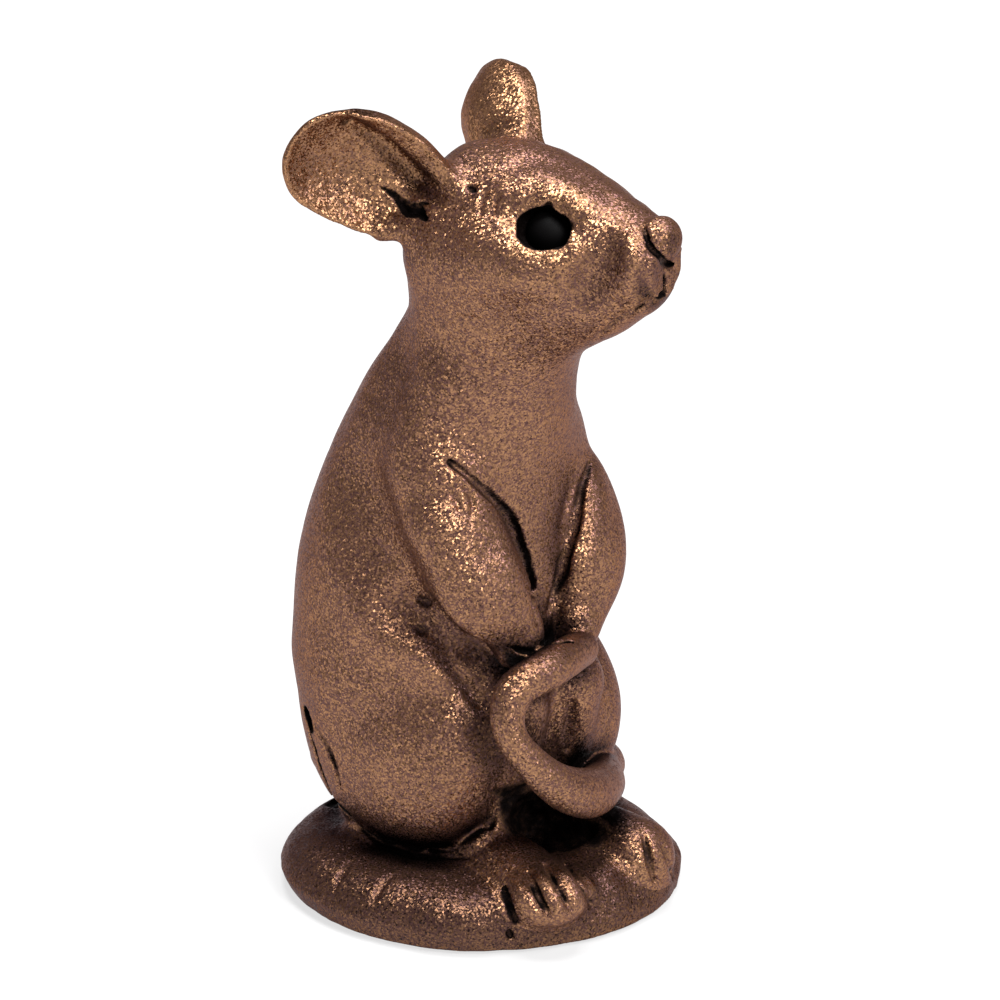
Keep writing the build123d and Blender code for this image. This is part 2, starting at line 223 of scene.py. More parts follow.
# powder is more metallic than paint, and wax is duller than both
metal = add_node(tree, "ShaderNodeMath", {0: gold, 1: 0.4, 2: 0.65}, operation="MULTIPLY_ADD").outputs[0]
metal = add_node(tree, "ShaderNodeMath", {
    0: wax, 1: -0.7, 2: metal,
}, operation="MULTIPLY_ADD", use_clamp=True).outputs[0]
tree.links.new(metal, shader.inputs["Metallic"])
rough = add_node(tree, "ShaderNodeMath", {0: wax, 1: 0.3, 2: 0.37}, operation="MULTIPLY_ADD").outputs[0]
tree.links.new(rough, shader.inputs["Roughness"])
sheen = add_node(tree, "ShaderNodeMath", {0: wax, 1: -0.4, 2: 0.5}, operation="MULTIPLY_ADD").outputs[0]
tree.links.new(sheen, shader.inputs["Specular IOR Level"])
shader.inputs["Specular Tint"].default_value = linear(EDGE_GREY)


def block(low, high):
    """Slices of the clay grid between two corners, with the grid's coordinates there."""
    cuts = []
    places = []
    for i, axis in enumerate(axes):
        start = min(max(int((low[i] - CLAY_LOW[i]) / VOXEL), 0), len(axis) - 2)
        stop = max(min(int((high[i] - CLAY_LOW[i]) / VOXEL) + 2, len(axis)), start + 2)
        cuts.append(slice(start, stop))
        shape = [1, 1, 1]
        shape[i] = -1
        places.append(axis[start:stop].reshape(shape))
    return tuple(cuts), places


def soft_min(a, b, blend):
    """Union of two distances, rounded over a width where they meet."""
    near = np.maximum(blend - np.abs(a - b), 0.0) / blend
    return np.minimum(a, b) - near * near * blend * 0.25


def cast(name, middle, reach, form, blend):
    """Presses a piece's form into the clay, and sets up the casting that is cut out of it at the end."""
    cuts, (x, y, z) = block(np.subtract(middle, reach), np.add(middle, reach))
    distance = np.minimum(form(x, y, z), FAR).astype(np.float32)
    clay[cuts] = soft_min(clay[cuts], distance, blend(x, y, z) if callable(blend) else blend)
    closer = distance < nearest[cuts]
    second[cuts] = np.where(closer, nearest[cuts], np.minimum(second[cuts], distance))
    nearest[cuts] = np.minimum(nearest[cuts], distance)
    owner[cuts][closer] = len(castings)
    casting = bpy.data.objects.new("cast_" + name, bpy.data.meshes.new("cast_" + name))
    casting.data.materials.append(bronze)
    bpy.context.collection.objects.link(casting)
    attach(casting, "root")
    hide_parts(name)
    castings[name] = (casting, cuts, distance)


def rounded(across, up, edge):
    """Distance to a section with a rounded edge, from the distances past its side and its face."""
    outside = np.sqrt(np.maximum(across + edge, 0.0) ** 2 + np.maximum(up + edge, 0.0) ** 2)
    return outside + np.minimum(np.maximum(across, up) + edge, 0.0) - edge


def base_form(x, y, z):
    angle = np.arctan2(y, x)
    wander = BASE_BULGE * np.cos(angle - BASE_BULGE_TURN) - BASE_OVALNESS * np.sin(2.0 * angle)
    reach = np.sqrt(x * x + y * y)
    top = BASE_TOP - BASE_FALL * (x + y) - BASE_DOME * (reach / BASE_RADIUS) ** 2
    disc = rounded(reach - wander - BASE_RADIUS, np.maximum(z - top, BASE_BOTTOM - z), BASE_EDGE)
    foot_reach = np.sqrt((x - BASE_FOOT_SHIFT) ** 2 + (y + BASE_FOOT_SHIFT) ** 2)
    foot = rounded(foot_reach - BASE_FOOT_RADIUS, z - BASE_FOOT_HEIGHT, BASE_FOOT_EDGE)
    return np.maximum(soft_min(disc, foot, BASE_FOOT_BLEND), PAD_STAND - z)


cast("base", BASE_MIDDLE, BASE_REACH, base_form, BASE_BLEND)

# A tool mark is a line of pixels in the picture, the tool's radius, the mark's height or, below zero, its
# depth, the width over which its edge is rubbed smooth, and the share of black wax and of raggedness in it.
# The marks are kept in this order and pressed into the finished clay.
BASE_MARKS = {
    "left_scratch": (((350, 862), (342, 874), (335, 888)), 0.6, -0.4, 0.5, 0.0),
    "right_scratch": (((392, 875), (381, 887), (373, 902)), 0.6, -0.45, 0.5, 0.0),
    "patted_lump": (((434, 922), (464, 917), (490, 911)), 3.2, 0.9, 2.2, 0.0),
    "slit_by_foot": (((504, 886), (509, 904), (516, 923)), 0.65, -1.2, 0.4, 0.9),
    "pit_by_foot": (((507, 932), (509, 938)), 0.6, -0.6, 0.3, 0.8),
    "front_fold_of_haunch": (((492, 830), (478, 842), (462, 850)), 1.1, 0.9, 0.8, 0.0),
    "side_fold_of_haunch": (((420, 845), (428, 856)), 0.9, 0.6, 0.6, 0.0),
}
tool_marks = list(BASE_MARKS.values())


# Torso
# The body and the neck are one casting of resin, pear-shaped and full in the back. It stands on the base on a
# spigot, with a crack along the base and a torn seam low on the back.
TORSO_HEIGHTS = (5.0, 9.0, 18.0, 29.0, 38.0, 48.0, 55.0, 61.0, 67.0, 73.5, 79.0, 84.0, 90.0, 96.0)
TORSO_HALF_WIDTHS = (12.5, 13.2, 15.8, 19.7, 20.6, 20.0, 18.6, 17.0, 15.2, 13.5, 12.3, 11.7, 11.1, 10.0)
TORSO_HALF_DEPTHS = (15.0, 15.8, 18.3, 20.1, 20.0, 19.2, 18.0, 16.7, 15.7, 14.4, 13.1, 12.0, 11.1, 10.0)
TORSO_SET_BACKS = (6.6, 6.7, 7.0, 7.2, 7.2, 6.7, 6.1, 5.1, 3.4, 1.4, -1.2, -2.9, -3.7, -3.7)
TORSO_TOP = 93.0
TORSO_TOP_EDGE = 5.0
TORSO_MIDDLE = (0.0, 4.5, 53.0)
TORSO_REACH = (28.0, 24.5, 50.0)
TORSO_BLEND = 0.8


def smooth_steps(place, places, values):
    """Values between stations, on a smooth curve through them."""
    places = np.array(places)
    values = np.array(values)
    slopes = np.gradient(values, places)
    i = np.clip(np.searchsorted(places, place) - 1, 0, len(places) - 2)
    span = places[i + 1] - places[i]
    t = np.clip((place - places[i]) / span, 0.0, 1.0)
    return (
        (1 + 2 * t) * (1 - t) ** 2 * values[i] + t * (1 - t) ** 2 * span * slopes[i]
        + t * t * (3 - 2 * t) * values[i + 1] + t * t * (t - 1) * span * slopes[i + 1]
    ).astype(np.float32)


def oval(across, along, half_across, half_along):
    """Distance to an oval of given half sizes."""
    ratio = np.sqrt((across / half_across) ** 2 + (along / half_along) ** 2) + 1e-6
    slope = np.sqrt((across / half_across ** 2) ** 2 + (along / half_along ** 2) ** 2) + 1e-6
    return ratio * (ratio - 1.0) / slope


def torso_form(x, y, z):
    half_width = smooth_steps(z, TORSO_HEIGHTS, TORSO_HALF_WIDTHS)
    half_depth = smooth_steps(z, TORSO_HEIGHTS, TORSO_HALF_DEPTHS)
    set_back = smooth_steps(z, TORSO_HEIGHTS, TORSO_SET_BACKS)
    return rounded(oval(x, y - set_back, half_width, half_depth), z - TORSO_TOP, TORSO_TOP_EDGE)


cast("torso", TORSO_MIDDLE, TORSO_REACH, torso_form, TORSO_BLEND)

TORSO_MARKS = {
    "hole_over_seam": (((305, 711), (308, 719), (311, 727)), 1.2, -1.8, 0.3, 1.0),
    "torn_seam": (((309, 728), (315, 750), (325, 780), (337, 806)), 0.55, -0.8, 0.3, 0.9),
    "tear_beside_seam": (((315, 726), (328, 748), (336, 768), (340, 788)), 0.45, -0.6, 0.3, 0.7),
    "gap_under_seam": (((332, 797), (340, 807), (352, 818)), 0.8, -1.0, 0.4, 1.0),
    "crack_along_base": (((352, 820), (376, 838), (400, 848), (440, 856), (468, 858)), 0.4, -0.5, 0.3, 0.7),
}
tool_marks.extend(TORSO_MARKS.values())


# Haunches
# Two thick pats of clay on the sides, laid on before the arms and cast with spigots into the torso. They run
# smoothly into the back and end in a raised lip towards the belly.
HAUNCH_CENTRE = (11.6, 2.6, 23.0)
HAUNCH_HALF_SIZES = (9.6, 15.6, 14.6)
HAUNCH_TILT = math.radians(18.0)
HAUNCH_REACH = 20.0
HAUNCH_CREASE = 0.9
HAUNCH_BACK_BLEND = 6.0
HAUNCH_BACK = (0.0, 10.0)
HAUNCH_TOP_BLEND = 3.0
HAUNCH_TOP = (26.0, 34.0)
HAUNCH_TOP_BACK = (-9.0, 2.0)


def step(value, start, end):
    """Smooth ramp from 0 at start to 1 at end."""
    t = np.clip((value - start) / (end - start), 0.0, 1.0)
    return t * t * (3.0 - 2.0 * t)


def ball(x, y, z, half_x, half_y, half_z):
    """Distance to an ellipsoid about the origin."""
    ratio = np.sqrt((x / half_x) ** 2 + (y / half_y) ** 2 + (z / half_z) ** 2) + 1e-6
    slope = np.sqrt((x / half_x ** 2) ** 2 + (y / half_y ** 2) ** 2 + (z / half_z ** 2) ** 2) + 1e-6
    return ratio * (ratio - 1.0) / slope


def on_side(side, point):
    """A point given for the left side, put on the left or the right."""
    return (side * point[0], point[1], point[2])


def haunch_form(side):
    def form(x, y, z):
        across = x - side * HAUNCH_CENTRE[0]
        back = y - HAUNCH_CENTRE[1]
        up = z - HAUNCH_CENTRE[2]
        along = back * math.cos(HAUNCH_TILT) + up * math.sin(HAUNCH_TILT)
        above = up * math.cos(HAUNCH_TILT) - back * math.sin(HAUNCH_TILT)
        return ball(across, along, above, *HAUNCH_HALF_SIZES)
    return form


def haunch_blend(x, y, z):
    back = HAUNCH_BACK_BLEND * step(y, *HAUNCH_BACK)
    return HAUNCH_CREASE + back + HAUNCH_TOP_BLEND * step(z, *HAUNCH_TOP) * step(y, *HAUNCH_TOP_BACK)


for side, name in ((-1, "right_haunch"), (1, "left_haunch")):
    cast(name, on_side(side, HAUNCH_CENTRE), HAUNCH_REACH, haunch_form(side), haunch_blend)

HAUNCH_MARKS = {
    "lip": (((428, 652), (442, 676), (460, 704), (476, 730), (484, 756)), 4.0, 1.1, 3.0, 0.0),
    "groove_before_lip": (((436, 643), (450, 660), (468, 684), (484, 708)), 1.3, -0.9, 1.3, 0.0),
    "groove_under_lip": (((494, 792), (494, 810), (489, 826)), 0.9, -1.0, 0.6, 0.0),
    "fold_of_belly": (((452, 652), (468, 672), (482, 692)), 1.0, 0.5, 0.8, 0.0),
}
tool_marks.extend(HAUNCH_MARKS.values())


# Lower legs
# Two upright rolls of clay side by side under the belly, cast with spigots into the torso. They show as the
# knees inside the tail's loop, over a deep recess that is waxed black as painted shadow.
LEG_TOP = (5.2, -10.6, 30.5)
LEG_FOOT = (5.6, -9.0, 13.0)
LEG_RADII = (5.6, 3.4)
LEG_MIDDLE = (5.4, -10.0, 23.0)
LEG_REACH = (9.0, 10.0, 17.0)
LEG_BLEND = 2.5


def roll(x, y, z, points, radii):
    """Distance to a roll of clay of changing thickness along a line of points."""
    nearest_side = None
    for (start, end), (first, last) in zip(zip(points, points[1:]), zip(radii, radii[1:])):
        run = np.subtract(end, start)
        t = ((x - start[0]) * run[0] + (y - start[1]) * run[1] + (z - start[2]) * run[2]) / (run @ run + 1e-9)
        t = np.clip(t, 0.0, 1.0)
        away = np.sqrt(
            (x - start[0] - t * run[0]) ** 2
            + (y - start[1] - t * run[1]) ** 2
            + (z - start[2] - t * run[2]) ** 2
        )
        side = away - first - t * (last - first)
        nearest_side = side if nearest_side is None else np.minimum(nearest_side, side)
    return nearest_side


def leg_form(side):
    points = [on_side(side, LEG_TOP), on_side(side, LEG_FOOT)]
    return lambda x, y, z: roll(x, y, z, points, LEG_RADII)


for side, name in ((-1, "right_lower_leg"), (1, "left_lower_leg")):
    cast(name, on_side(side, LEG_MIDDLE), LEG_REACH, leg_form(side), LEG_BLEND)

LEG_MARKS = {
    "cut_between_knees": (((571, 704), (570, 726), (568, 748)), 0.9, -0.7, 0.8, 0.0),
    # the recess under the loop is cut in, and its black wax is painted shadow
    "recess_and_painted_shadow_under_loop": (((508, 800), (534, 817), (566, 827), (592, 832)), 3.6, -2.6, 1.8, 0.75),
}
tool_marks.extend(LEG_MARKS.values())


# Feet
# Flat pats of clay pressed onto the front of the base, each cut into toes with a modelling tool and cast with
# a spigot into the base. The near foot is flatter than the far one.
FOOT_POINTS = {
    "right_foot": ((-7.0, -9.0, 9.5), (-9.8, -22.4, 7.0)),
    "left_foot": ((6.6, -9.0, 9.0), (8.3, -21.2, 7.0)),
}
FOOT_RADII = {"right_foot": (5.2, 6.1), "left_foot": (4.6, 5.7)}
FOOT_FLATNESS = {"right_foot": 0.66, "left_foot": 0.95}
# a squashed roll gives too steep a distance, so it is toned down
FOOT_STEEPNESS = 0.85
FOOT_MIDDLE = (9.0, -16.5, 9.5)
FOOT_REACH = (10.0, 14.5, 9.5)
FOOT_BLEND = 2.4


def foot_form(name):
    flat = FOOT_FLATNESS[name]
    squashed = [(x, y, z / flat) for x, y, z in FOOT_POINTS[name]]
    return lambda x, y, z: roll(x, y, z / flat, squashed, FOOT_RADII[name]) * FOOT_STEEPNESS


for side, name in ((-1, "right_foot"), (1, "left_foot")):
    cast(name, on_side(side, FOOT_MIDDLE), FOOT_REACH, foot_form(name), FOOT_BLEND)

# the toes of the near foot, the cuts between the toes of both feet, and the ridge between the feet
TOES = (
    ((514, 880), (522, 894), (532, 912)),
    ((536, 870), (548, 890), (559, 912)),
    ((554, 862), (568, 882), (581, 906)),
    ((574, 868), (586, 884), (597, 900)),
)
TOE_TOOL = (1.3, 0.8, 0.8, 0.0)
TOE_CUTS = (
    ((528, 872), (538, 894), (549, 917)),
    ((544, 864), (558, 888), (571, 911)),
    ((566, 864), (580, 884), (593, 907)),
    ((644, 834), (649, 858), (655, 882)),
    ((663, 842), (669, 860), (673, 878)),
)
TOE_CUT_TOOL = (0.5, -0.9, 0.5, 0.5)
FOOT_RIDGE = (((588, 856), (602, 874), (614, 898)), 2.6, 0.6, 2.4, 0.0)
tool_marks.extend((toe, *TOE_TOOL) for toe in TOES)
tool_marks.extend((cut, *TOE_CUT_TOOL) for cut in TOE_CUTS)
tool_marks.append(FOOT_RIDGE)


# Tail
# A round roll of clay with its root in the torso, laid from the right rump round the back and the left side
# and looped up in front of the knees, where its end goes into the paws.
TAIL_ROUTE = (
    (-9.0, 19.5, 24.5), (-9.6, 20.6, 17.0), (-4.9, 23.2, 11.6), (5.2, 24.0, 11.0), (15.3, 18.0, 11.0),
    (20.5, 7.0, 11.2), (19.4, -3.8, 12.2), (12.3, -10.9, 15.0), (6.5, -16.9, 16.8), (-1.9, -22.1, 19.6),
    (-10.1, -23.5, 24.6), (-14.6, -20.6, 31.4), (-12.9, -19.4, 36.8), (-6.5, -20.3, 39.0), (2.6, -16.4, 37.6),
)
TAIL_RADII = (2.0, 2.4, 2.7, 2.9, 2.9, 2.9, 2.9, 3.0, 3.3, 3.4, 2.9, 2.4, 2.5, 2.7, 2.6)
TAIL_STEPS = 6
TAIL_NEAR = 7.0
TAIL_MIDDLE = (0.0, -2.5, 25.0)
TAIL_REACH = (29.0, 31.5, 23.0)
TAIL_BLEND = 0.6


def curve_through(points, steps):
    """Points on a smooth curve through a list of points or values."""
    points = np.array(points, dtype=np.float64).reshape(len(points), -1)
    padded = np.vstack((2 * points[0] - points[1], points, 2 * points[-1] - points[-2]))
    made = []
    for i in range(len(points) - 1):
        a, b, c, d = padded[i:i + 4]
        for t in np.arange(steps) / steps:
            made.append(0.5 * (2 * b + (c - a) * t + (2 * a - 5 * b + 4 * c - d) * t ** 2
                               + (3 * b - a - 3 * c + d) * t ** 3))
    made.append(points[-1])
    return np.array(made)


tail_line = curve_through(TAIL_ROUTE, TAIL_STEPS)
tail_radii = curve_through(TAIL_RADII, TAIL_STEPS)[:, 0]


def tail_form(x, y, z):
    lines = (x.ravel(), y.ravel(), z.ravel())
    distance = np.full(tuple(len(line) for line in lines), FAR, np.float32)
    for i in range(len(tail_line) - 1):
        low = np.minimum(tail_line[i], tail_line[i + 1]) - TAIL_NEAR
        high = np.maximum(tail_line[i], tail_line[i + 1]) + TAIL_NEAR
        near = tuple(slice(*np.searchsorted(line, (low[k], high[k]))) for k, line in enumerate(lines))
        part = roll(x[near[0]], y[:, near[1]], z[:, :, near[2]], tail_line[i:i + 2], tail_radii[i:i + 2])
        distance[near] = np.minimum(distance[near], part)
    return distance


cast("tail", TAIL_MIDDLE, TAIL_REACH, tail_form, TAIL_BLEND)


# Arms
# Each arm is a fat drop of clay from the shoulder to the wrist, cast with a spigot into the torso. It melts
# into the shoulder and stands off the chest in a sharp crease.
ARM_POINTS = {
    "right_arm": ((-9.4, 0.0, 63.0), (-11.1, -4.6, 55.8), (-10.6, -9.4, 49.2), (-7.6, -13.4, 43.0)),
    "left_arm": ((8.5, 0.0, 63.0), (10.0, -4.4, 54.8), (9.2, -8.8, 47.8), (6.1, -12.2, 41.2)),
}
ARM_RADII = (5.0, 7.4, 7.1, 4.2)
ARM_STEPS = 10
ARM_MIDDLE = (11.0, -5.0, 56.0)
ARM_REACH = (15.0, 17.0, 24.0)
ARM_CREASE = 0.8
ARM_SHOULDER_BLEND = 6.0
ARM_SHOULDER = (57.0, 67.0)
ARM_BACK_BLEND = 3.5
ARM_BACK = (-6.0, 2.0)


def arm_form(name):
    points = curve_through(ARM_POINTS[name], ARM_STEPS)
    radii = curve_through(ARM_RADII, ARM_STEPS)[:, 0]
    return lambda x, y, z: roll(x, y, z, points, radii)


def arm_blend(x, y, z):
    return ARM_CREASE + ARM_SHOULDER_BLEND * step(z, *ARM_SHOULDER) + ARM_BACK_BLEND * step(y, *ARM_BACK)


for side, name in ((-1, "right_arm"), (1, "left_arm")):
    cast(name, on_side(side, ARM_MIDDLE), ARM_REACH, arm_form(name), arm_blend)

# the soft forms come first and the creases are cut into them
ARM_MARKS = {
    "right_front_edge": (((452, 478), (466, 494), (482, 515), (498, 540), (512, 572)), 2.2, 0.7, 1.6, 0.0),
    "swelling_of_shoulder": (((432, 396), (424, 430), (428, 470), (440, 506)), 6.0, 1.3, 5.0, 0.0),
    "left_front_edge": (((594, 490), (588, 524), (580, 560)), 2.6, 0.6, 2.2, 0.0),
    "hollow_behind_shoulder": (
        ((394, 372), (374, 420), (362, 470), (366, 525), (388, 568), (412, 594)), 6.0, -1.8, 4.5, 0.0,
    ),
    "hollow_under_elbow": (((402, 604), (430, 626), (468, 646)), 3.4, -1.2, 2.6, 0.0),
    "right_crease": (
        ((450, 461), (475, 482), (499, 505), (513, 526), (521, 549), (529, 574), (534, 598), (537, 622)),
        0.8, -1.0, 0.6, 0.35,
    ),
    "left_crease": (((590, 463), (577, 507), (569, 540), (559, 581), (549, 611)), 0.8, -0.9, 0.6, 0.35),
    "long_thumbnail_mark": (((458, 480), (468, 492), (473, 506), (470, 522)), 0.4, -0.3, 0.3, 0.0),
    "short_thumbnail_mark": (((446, 488), (456, 500), (460, 514)), 0.4, -0.25, 0.3, 0.0),
    "upper_pit_under_elbow": (((422, 598), (426, 604)), 0.9, -0.6, 0.6, 0.6),
    "lower_pit_under_elbow": (((418, 624), (424, 632)), 0.9, -0.6, 0.6, 0.6),
}
tool_marks.extend(ARM_MARKS.values())


# Paws
# Small ovals of clay pressed onto the wrists and cast with spigots into the arms. They hold the end of the
# tail, with a black slit under each.
PAW_CENTRES = {"right_paw": (-7.4, -14.0, 41.6), "left_paw": (4.8, -13.2, 39.8)}
PAW_HALF_SIZES = (3.4, 3.8, 4.0)
PAW_REACH = 10.0
PAW_BLEND = 0.7


def paw_form(centre):
    return lambda x, y, z: ball(x - centre[0], y - centre[1], z - centre[2], *PAW_HALF_SIZES)


for name, centre in PAW_CENTRES.items():
    cast(name, centre, PAW_REACH, paw_form(centre), PAW_BLEND)

PAW_MARKS = {
    "right_slit": (((514, 647), (524, 651), (533, 652)), 0.5, -0.7, 0.3, 1.0),
    "left_slit": (((538, 646), (562, 642), (588, 645)), 0.5, -0.7, 0.3, 1.0),
}
tool_marks.extend(PAW_MARKS.values())


# Head
# The skull and the snout are one casting of resin with a spigot into the neck, turned a little to the mouse's
# left. Brow, cheeks and whisker pad were pressed up by thumb, and the mouth was cut with a tool.
HEAD_YAW = math.radians(9.0)
SKULL_CENTRE = np.array((0.19, -4.36, 95.4))
HEAD_PLACES = (-13.5, -12.0, -8.0, 0.0, 8.0, 14.0, 19.0, 22.7, 25.2, 26.3)
HEAD_HALF_WIDTHS = (2.0, 5.6, 10.4, 12.6, 11.8, 10.0, 7.8, 6.2, 5.0, 3.2)
HEAD_TOPS = (1.5, 5.0, 10.2, 12.8, 12.2, 10.8, 9.0, 7.4, 6.2, 4.8)
HEAD_BOTTOMS = (-1.5, -5.0, -10.2, -13.0, -13.2, -12.6, -9.9, -6.8, -4.6, -2.8)
HEAD_MIDDLE = (1.0, -10.25, 94.5)
HEAD_REACH = (19.0, 24.25, 18.5)
HEAD_BLEND = 7.0

head_forward = np.array((math.sin(HEAD_YAW), -math.cos(HEAD_YAW), 0.0))
head_right = np.array((-math.cos(HEAD_YAW), -math.sin(HEAD_YAW), 0.0))
upward = np.array((0.0, 0.0, 1.0))


def head_point(forward, right, up):
    """Point given forward, to the mouse's right and up from the middle of the skull."""
    return SKULL_CENTRE + head_forward * forward + head_right * right + upward * up


def head_place(x, y, z):
    """Coordinates forward, to the mouse's right and up from the middle of the skull."""
    dx = x - SKULL_CENTRE[0]
    dy = y - SKULL_CENTRE[1]
    forward = dx * head_forward[0] + dy * head_forward[1]
    right = dx * head_right[0] + dy * head_right[1]
    return forward, right, z - SKULL_CENTRE[2]


def head_form(x, y, z):
    forward, right, up = head_place(x, y, z)
    half_width = smooth_steps(forward, HEAD_PLACES, HEAD_HALF_WIDTHS)
    top = smooth_steps(forward, HEAD_PLACES, HEAD_TOPS)
    bottom = smooth_steps(forward, HEAD_PLACES, HEAD_BOTTOMS)
    around = oval(right, up - (top + bottom) / 2.0, half_width, (top - bottom) / 2.0)
    ends = np.maximum(forward - HEAD_PLACES[-1], HEAD_PLACES[0] - forward)
    return np.maximum(around, ends)


cast("head", HEAD_MIDDLE, HEAD_REACH, head_form, HEAD_BLEND)

HEAD_MARKS = {
    "hollow_round_eye": (((528, 228), (558, 228)), 6.0, -0.8, 2.0, 0.0),
    "brow": (((508, 190), (536, 184), (560, 190), (584, 206)), 2.4, 0.8, 2.0, 0.0),
    "cheekbone": (((488, 250), (520, 264), (552, 268), (584, 258)), 3.2, 0.9, 2.5, 0.0),
    "whisker_pad": (((612, 277), (628, 261), (642, 246)), 3.2, 1.0, 2.0, 0.0),
    "hollow_of_cheek": (((608, 250), (597, 274), (586, 298)), 3.0, -1.6, 2.4, 0.0),
    "tear_above_eye": (((545, 212), (548, 203)), 0.6, -0.5, 0.3, 0.7),
    "tear_before_eye": (((562, 226), (573, 227)), 0.6, -0.5, 0.3, 0.7),
    "slit_of_mouth": (((667, 291), (662, 294), (656, 298)), 0.8, -1.1, 0.3, 1.0),
    "lip_line": (((655, 299), (634, 311), (612, 325), (597, 336)), 0.5, -0.6, 0.4, 0.6),
    "cleft_under_nose": (((666, 265), (665, 278), (664, 291)), 0.4, -0.5, 0.3, 0.7),
    "pit_by_ear": (((468, 188), (475, 192)), 0.5, -0.6, 0.3, 1.0),
    "long_scratch_by_ear": (((486, 192), (480, 208), (482, 226)), 0.4, -0.2, 0.4, 0.0),
    "short_scratch_by_ear": (((498, 196), (492, 214)), 0.4, -0.2, 0.4, 0.0),
    "fold_under_jaw": (((418, 254), (446, 262), (480, 270), (514, 280)), 4.0, 0.6, 4.5, 0.0),
}
tool_marks.extend(HEAD_MARKS.values())


# Ears
# Cupped leaves of clay with a rolled upper rim, pressed onto the back corners of the skull and cast with
# spigots into it. They are not alike: the left one is smaller and turned further back.
EAR_MIDDLE = (11.4, -0.3)
EAR_OUTLINE = (10.6, 10.3, 9.2, 8.7, 8.8, 10.4, 13.0, 11.6, 10.2, 8.3, 8.4, 9.8)
EAR_CUP = 4.2
EAR_CUP_END = 1.3
EAR_THICKNESS = 2.2
EAR_STEEPNESS = 0.85
EAR_EDGE = 0.8
EAR_RIM = 1.6
EAR_FOLD_START = -0.7
EAR_FOLD_RISE = 0.53
EAR_FOLD_WIDTH = (-0.6, 1.8)
EAR_FOLD_END = (14.0, 18.0)
EAR_REACH = 15.0
EAR_BLEND = 3.2
# name, side, root, direction of the leaf, direction that its bowl faces, size
EARS = (
    ("right_ear", 1, (-3.8, 8.6, 8.6), (-0.675, 0.695, 0.248), (0.709, 0.702, -0.083), 1.0),
    ("left_ear", -1, (-2.4, 8.9, 7.6), (-0.8, 0.57, 0.24), (0.5, 0.72, -0.36), 0.86),
)


def ear_form(side, root, axis, opening, size):
    axis = np.array(axis) / np.linalg.norm(axis)
    opening = opening - axis * np.dot(opening, axis)
    opening = opening / np.linalg.norm(opening)
    across = np.cross(opening, axis)

    def form(x, y, z):
        forward, right, up = head_place(x, y, z)
        forward = (forward - root[0]) / size
        right = (side * right - root[1]) / size
        up = (up - root[2]) / size
        along = forward * axis[0] + right * axis[1] + up * axis[2]
        wide = forward * across[0] + right * across[1] + up * across[2]
        deep = forward * opening[0] + right * opening[1] + up * opening[2]
        a = along - EAR_MIDDLE[0]
        b = wide - EAR_MIDDLE[1]
        turn = np.arctan2(b, a) / (2.0 * math.pi) * len(EAR_OUTLINE)
        i = np.floor(turn).astype(np.int32)
        t = turn - i
        before, here, there, after = (np.take(EAR_OUTLINE, i + k, mode="wrap") for k in (-1, 0, 1, 2))
        edge = here + 0.5 * t * (there - before + t * (
            2 * before - 5 * here + 4 * there - after + t * (3 * (here - there) + after - before)))
        reach = np.sqrt(a * a + b * b)
        share = np.minimum(reach / edge, EAR_CUP_END)
        front = EAR_CUP * (share * share - 1.0)
        back = front - EAR_THICKNESS
        above_fold = wide - EAR_FOLD_START - EAR_FOLD_RISE * along
        front = front + EAR_RIM * step(above_fold, *EAR_FOLD_WIDTH) * (1.0 - step(along, *EAR_FOLD_END))
        leaf = np.maximum(deep - front, back - deep) * EAR_STEEPNESS
        return rounded(reach - edge, leaf, EAR_EDGE) * size
    return form


for name, side, root, axis, opening, size in EARS:
    middle = np.array(root) + np.array(axis) * EAR_MIDDLE[0] * size
    middle = head_point(middle[0], side * middle[1], middle[2])
    cast(name, middle, EAR_REACH, ear_form(side, root, axis, opening, size), EAR_BLEND)

EAR_MARKS = {
    "fold_under_rim": (((350, 123), (376, 137), (398, 158), (418, 180), (438, 197)), 1.5, -0.9, 1.2, 0.0),
    "nick_in_rim": (((341, 119), (347, 122), (352, 119)), 0.4, -0.4, 0.3, 0.8),
    "crack_in_bowl": (((378, 188), (394, 195), (410, 204), (426, 205)), 0.5, -0.8, 0.3, 1.0),
    "tear_under_crack": (((402, 200), (411, 212), (426, 216)), 0.75, -1.1, 0.3, 1.0),
    "rolled_lobe": (((382, 230), (398, 224), (408, 226)), 1.8, 0.7, 1.0, 0.0),
}
tool_marks.extend(EAR_MARKS.values())


# Nose
# A button of clay pressed onto the muzzle, with the seam still open round it, and cast with a spigot into the
# head.
NOSE_PLACE = (25.6, 0.0, 4.9)
NOSE_HALF_SIZES = (2.4, 2.7, 2.9)
NOSE_REACH = 7.0
NOSE_BLEND = 0.4


def nose_form(x, y, z):
    forward, right, up = head_place(x, y, z)
    return ball(forward - NOSE_PLACE[0], right, up - NOSE_PLACE[2], *NOSE_HALF_SIZES)


cast("nose", head_point(*NOSE_PLACE), NOSE_REACH, nose_form, NOSE_BLEND)

NOSE_MARKS = {
    "open_seam": (((644, 227), (648, 239), (655, 251), (667, 263), (677, 264)), 0.5, -0.7, 0.3, 0.8),
    "near_scratch": (((661, 236), (664, 248)), 0.5, -0.2, 0.4, 0.0),
    "far_scratch": (((672, 238), (673, 252)), 0.5, -0.2, 0.4, 0.0),
}
tool_marks.extend(NOSE_MARKS.values())


